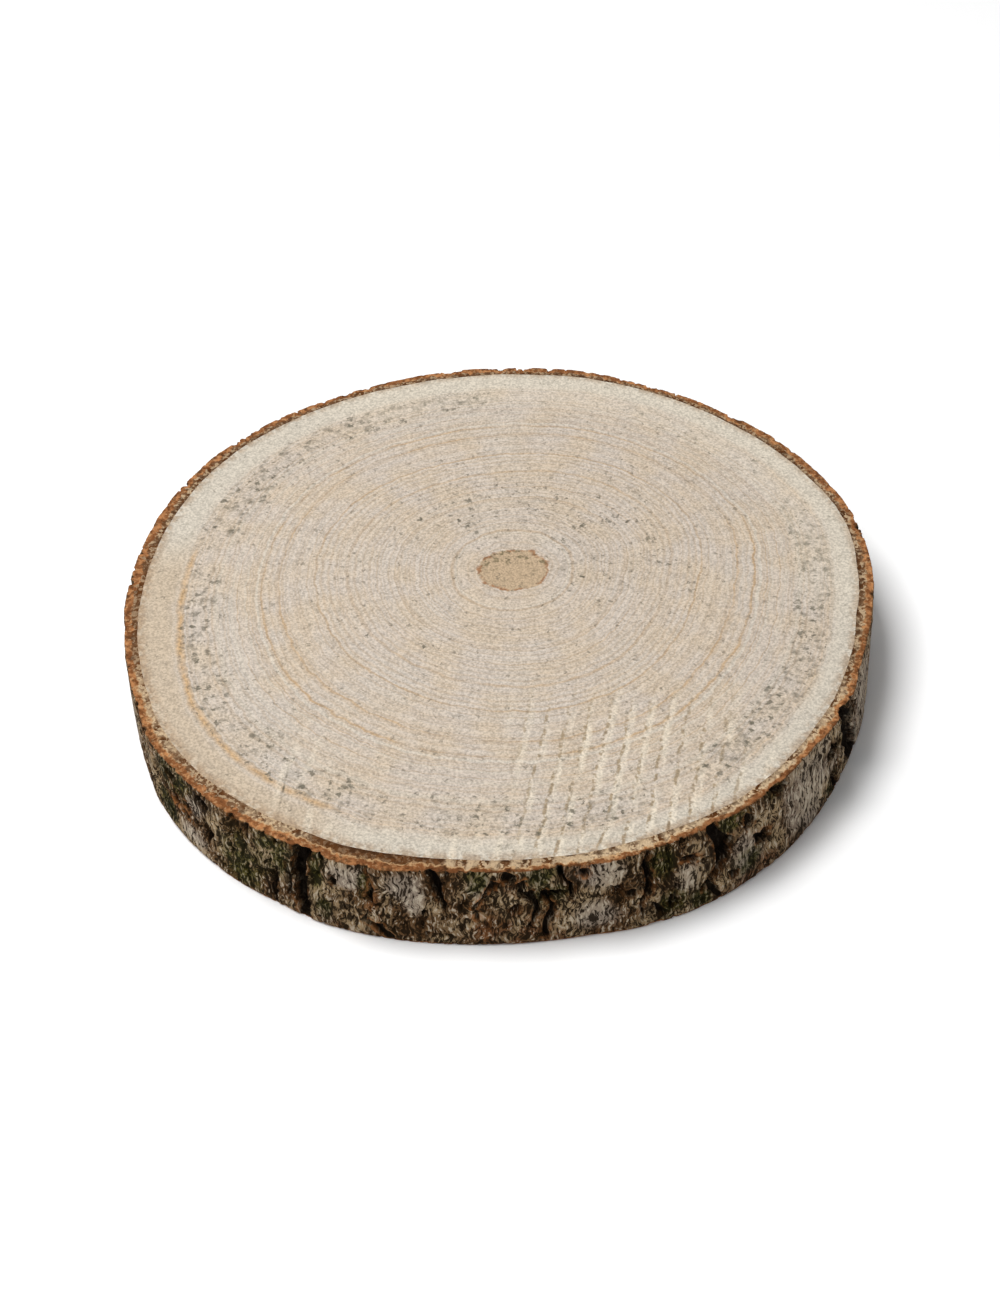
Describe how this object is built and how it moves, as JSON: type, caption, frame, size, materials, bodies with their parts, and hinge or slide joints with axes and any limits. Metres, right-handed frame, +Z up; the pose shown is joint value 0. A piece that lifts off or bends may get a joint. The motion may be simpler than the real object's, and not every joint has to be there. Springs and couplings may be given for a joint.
{
  "type": "wood slice",
  "caption": "Round slice sawn across a small tree trunk, flat on both faces, with its rough fissured bark left on round the edge.",
  "frame": {"origin": "middle of the underside's bounding box, on the surface that the slice rests on", "axes": "+Z up along the trunk, out of the sawn top face; -Y towards the viewer who sees the widest bark fissure on the left, +X to that viewer's right"},
  "size_m": [0.2344, 0.2369, 0.03],
  "materials": {
    "sawn_wood": "dry, rough-sawn end grain, pale cream with faint rings and grey specks",
    "bark": "dry, rough, fissured bark, grey-brown with orange-brown inner bark and some moss green"
  },
  "bodies": {
    "root": {"wood_slice": "sawn_wood"}
  },
  "joints": []
}
